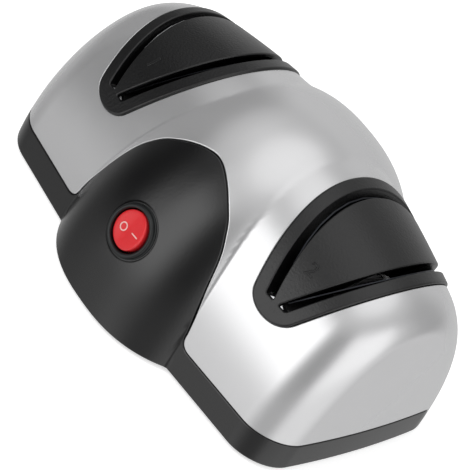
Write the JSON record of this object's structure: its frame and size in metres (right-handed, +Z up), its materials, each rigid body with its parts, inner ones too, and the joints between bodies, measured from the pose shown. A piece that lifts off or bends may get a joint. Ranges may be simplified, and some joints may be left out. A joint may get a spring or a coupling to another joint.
{
  "type": "electric knife sharpener",
  "caption": "Electric knife sharpener: arched silver casing with sloping blade slots over motor-driven grinding wheels, black base and round red rocker switch.",
  "frame": {"origin": "centre of the footprint, on the plane that the rubber feet stand on", "axes": "+Z up; +X along the length, to the right seen from the front, towards the fine stage; the switch faces -Y"},
  "size_m": [0.1778, 0.1378, 0.0826],
  "materials": {
    "silver_shell": "satin silver metallic paint over moulded plastic",
    "black_housing": "satin black moulded plastic",
    "black_insert": "dark grey plastic with a fine moulded grain",
    "spring_steel": "bright rolled strip",
    "red_rocker": "glossy red, slightly translucent",
    "foot_rubber": "matt black rubber",
    "zinc_plated_steel": "zinc-plated",
    "core_steel": "stacked electrical steel sheet, dull grey",
    "cast_zinc": "die-cast, matt",
    "sintered_bronze": "oiled sintered bronze",
    "terminal_brass": "bright brass",
    "copper_winding": "varnished copper wire",
    "white_nylon": "off-white nylon",
    "coarse_grit": "coarse bonded abrasive",
    "fine_grit": "fine bonded abrasive",
    "lead_jacket": "matt insulation"
  },
  "bodies": {
    "casing": {"upper_shell": "silver_shell", "lower_housing": "black_housing", "bottom_cover": "black_housing", "slot_insert_coarse": "black_insert", "slot_insert_fine": "black_insert", "rubber_foot_1": "foot_rubber", "rubber_foot_2": "foot_rubber", "rubber_foot_3": "foot_rubber", "rubber_foot_4": "foot_rubber", "case_screw_1": "zinc_plated_steel", "case_screw_2": "zinc_plated_steel", "case_screw_3": "zinc_plated_steel", "case_screw_4": "zinc_plated_steel", "switch_housing": "black_housing", "switch_terminal_left": "terminal_brass", "switch_terminal_right": "terminal_brass", "inlet_socket": "black_housing", "inlet_pin_left": "terminal_brass", "inlet_pin_right": "terminal_brass", "stator_core": "core_steel", "coil_bobbin": "white_nylon", "coil_winding": "copper_winding", "bearing_bracket_left": "cast_zinc", "bearing_bush_left": "sintered_bronze", "bracket_screw_left": "zinc_plated_steel", "bearing_bracket_right": "cast_zinc", "bearing_bush_right": "sintered_bronze", "bracket_screw_right": "zinc_plated_steel", "clamp_bolt_upper": "zinc_plated_steel", "clamp_bolt_lower": "zinc_plated_steel", "lead_inlet_to_switch": "lead_jacket", "lead_switch_to_coil": "lead_jacket", "lead_inlet_to_coil": "lead_jacket"},
    "rotor": {"motor_shaft": "zinc_plated_steel", "rotor_core": "core_steel", "cooling_fan": "white_nylon", "grinding_wheel_coarse": "coarse_grit", "wheel_collar_coarse": "zinc_plated_steel", "wheel_washer_coarse": "zinc_plated_steel", "wheel_nut_coarse": "zinc_plated_steel", "grinding_wheel_fine": "fine_grit", "wheel_collar_fine": "zinc_plated_steel", "wheel_washer_fine": "zinc_plated_steel", "wheel_nut_fine": "zinc_plated_steel"},
    "rocker": {"switch_rocker": "red_rocker"},
    "guide_coarse_inner": {"guide_spring_coarse_inner": "spring_steel"},
    "guide_coarse_outer": {"guide_spring_coarse_outer": "spring_steel"},
    "guide_fine_inner": {"guide_spring_fine_inner": "spring_steel"},
    "guide_fine_outer": {"guide_spring_fine_outer": "spring_steel"}
  },
  "joints": [
    {"name": "motor_spin", "type": "hinge", "parent": "casing", "child": "rotor", "pos_m": [0, 0, 0.0315], "axis": [1, 0, 0], "continuous": true},
    {"name": "power_rocker", "type": "hinge", "parent": "casing", "child": "rocker", "pos_m": [0, -0.06021, 0.0344], "axis": [0, 0.3874, 0.9219], "range_deg": [0, 18]},
    {"name": "guide_give_coarse_inner", "type": "hinge", "parent": "casing", "child": "guide_coarse_inner", "pos_m": [-0.03646, 0, 0.07377], "axis": [0, -1, 0], "range_deg": [0, 4.7], "stiffness_Nm_per_rad": 0.25},
    {"name": "guide_give_coarse_outer", "type": "hinge", "parent": "casing", "child": "guide_coarse_outer", "pos_m": [-0.06523, 0, 0.0678], "axis": [0, 1, 0], "range_deg": [0, 6.3], "stiffness_Nm_per_rad": 0.25},
    {"name": "guide_give_fine_inner", "type": "hinge", "parent": "casing", "child": "guide_fine_inner", "pos_m": [0.03646, 0, 0.07377], "axis": [0, 1, 0], "range_deg": [0, 4.7], "stiffness_Nm_per_rad": 0.25},
    {"name": "guide_give_fine_outer", "type": "hinge", "parent": "casing", "child": "guide_fine_outer", "pos_m": [0.06523, 0, 0.0678], "axis": [0, -1, 0], "range_deg": [0, 6.3], "stiffness_Nm_per_rad": 0.25}
  ]
}
